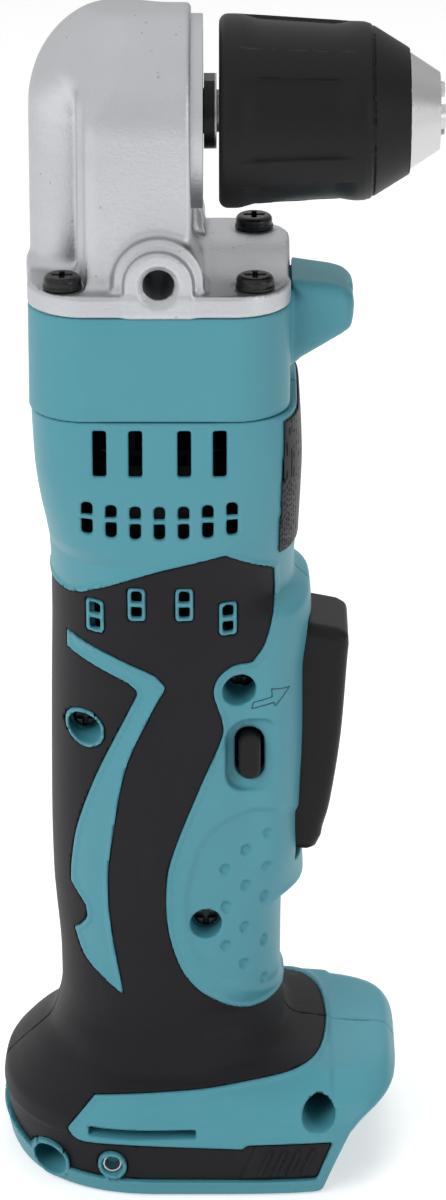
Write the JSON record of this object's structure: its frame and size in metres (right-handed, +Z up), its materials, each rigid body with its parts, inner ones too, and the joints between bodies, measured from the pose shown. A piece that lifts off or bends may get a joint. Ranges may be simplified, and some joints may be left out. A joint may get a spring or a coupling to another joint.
{
  "type": "right angle drill",
  "caption": "Cordless right angle drill, bare tool, with keyless chuck, cast gear head, teal housing and rubber grip.",
  "frame": {"origin": "middle of the battery base's underside, on the motor axis", "axes": "+Z up the motor axis, +X towards the chuck, -Y is the tool's right side"},
  "size_m": [0.1004, 0.079, 0.2712],
  "materials": {
    "alloy": "cast, satin",
    "teal": "fine moulded grain",
    "rubber": "matt overmould",
    "black_plastic": "satin moulded",
    "steel": "ground",
    "black_steel": "black oxide",
    "bronze": "sintered",
    "copper": "enamelled wire",
    "clear": "clear",
    "board": "solder mask",
    "plate": "satin film"
  },
  "bodies": {
    "housing": {"gear_housing": "alloy", "bearing_retainer": "alloy", "spindle_seal": "rubber", "spindle_bearing_outer": "steel", "spindle_rear_bush": "bronze", "pinion_bearing_outer": "steel", "ring_gear": "steel", "gear_cover": "teal", "flange_screws": "black_steel", "led_lens": "clear", "led_board": "board", "motor_front_bearing": "steel", "motor_rear_bush": "bronze", "motor_can": "steel", "motor_magnets": "steel", "brush_holder": "black_plastic", "carbon_brushes": "black_plastic", "housing_right": "teal", "housing_left": "teal", "grip_right": "rubber", "grip_left": "rubber", "housing_screws": "black_steel", "name_plate": "plate", "trigger_pin": "steel", "switch_body": "black_plastic", "control_board": "board", "terminal_block": "black_plastic", "battery_terminals": "bronze", "hook_inserts": "steel"},
    "spindle": {"spindle": "steel", "spindle_bearing_inner": "steel", "bevel_wheel": "steel", "chuck_body": "steel", "chuck_screw": "black_steel"},
    "pinion": {"bevel_pinion": "steel", "pinion_bearing_inner": "steel", "planet_carrier": "steel", "planet_pins": "steel"},
    "planet_a": {"planet_a": "steel"},
    "planet_b": {"planet_b": "steel"},
    "planet_c": {"planet_c": "steel"},
    "rotor": {"motor_shaft": "steel", "sun_gear": "steel", "armature_core": "steel", "armature_windings": "copper", "commutator": "copper", "cooling_fan": "black_plastic"},
    "sleeve": {"chuck_sleeve": "black_plastic", "jaw_nut": "steel"},
    "jaw_a": {"jaw_a": "steel"},
    "jaw_b": {"jaw_b": "steel"},
    "jaw_c": {"jaw_c": "steel"},
    "trigger": {"trigger": "black_plastic"},
    "plunger": {"switch_plunger": "black_plastic"},
    "lever": {"direction_lever": "black_plastic"}
  },
  "joints": [
    {"name": "spindle_spin", "type": "hinge", "parent": "housing", "child": "spindle", "pos_m": [0, 0, 0.2475], "axis": [1, 0, 0], "continuous": true},
    {"name": "pinion_spin", "type": "hinge", "parent": "housing", "child": "pinion", "pos_m": [0, 0, 0.207], "axis": [0, 0, 1], "continuous": true},
    {"name": "rotor_spin", "type": "hinge", "parent": "housing", "child": "rotor", "pos_m": [0, 0, 0.15], "axis": [0, 0, 1], "continuous": true},
    {"name": "planet_a_spin", "type": "hinge", "parent": "pinion", "child": "planet_a", "pos_m": [0.012, 0, 0.193], "axis": [0, 0, 1], "continuous": true},
    {"name": "planet_b_spin", "type": "hinge", "parent": "pinion", "child": "planet_b", "pos_m": [-0.006, 0.01039, 0.193], "axis": [0, 0, 1], "continuous": true},
    {"name": "planet_c_spin", "type": "hinge", "parent": "pinion", "child": "planet_c", "pos_m": [-0.006, -0.01039, 0.193], "axis": [0, 0, 1], "continuous": true},
    {"name": "sleeve_twist", "type": "hinge", "parent": "spindle", "child": "sleeve", "pos_m": [0.035, 0, 0.2475], "axis": [1, 0, 0], "range_deg": [-820, 1620]},
    {"name": "jaw_a_slide", "type": "slide", "parent": "spindle", "child": "jaw_a", "axis": [0.9397, 0.342, 0], "range_m": [-0.00401, 0.00789]},
    {"name": "jaw_b_slide", "type": "slide", "parent": "spindle", "child": "jaw_b", "axis": [0.9397, -0.171, 0.2962], "range_m": [-0.00401, 0.00789]},
    {"name": "jaw_c_slide", "type": "slide", "parent": "spindle", "child": "jaw_c", "axis": [0.9397, -0.171, -0.2962], "range_m": [-0.00401, 0.00789]},
    {"name": "trigger_pull", "type": "hinge", "parent": "housing", "child": "trigger", "pos_m": [0.022, 0, 0.071], "axis": [0, -1, 0], "range_deg": [0, 6], "stiffness_Nm_per_rad": 2, "springref_deg": -8.59},
    {"name": "plunger_press", "type": "slide", "parent": "housing", "child": "plunger", "axis": [-1, 0, 0], "range_m": [0, 0.0021]},
    {"name": "direction_slide", "type": "slide", "parent": "housing", "child": "lever", "axis": [0, 1, 0], "range_m": [-0.003, 0.003]}
  ],
  "couplings": [
    {"joint": "pinion_spin", "follows": "spindle_spin", "ratio": -3.8},
    {"joint": "rotor_spin", "follows": "spindle_spin", "ratio": -12.667},
    {"joint": "planet_a_spin", "follows": "spindle_spin", "ratio": 13.3},
    {"joint": "planet_b_spin", "follows": "spindle_spin", "ratio": 13.3},
    {"joint": "planet_c_spin", "follows": "spindle_spin", "ratio": 13.3},
    {"joint": "jaw_a_slide", "follows": "sleeve_twist", "m_per_rad": 0.00027852},
    {"joint": "jaw_b_slide", "follows": "sleeve_twist", "m_per_rad": 0.00027852},
    {"joint": "jaw_c_slide", "follows": "sleeve_twist", "m_per_rad": 0.00027852},
    {"joint": "plunger_press", "follows": "trigger_pull", "m_per_rad": 0.019}
  ]
}
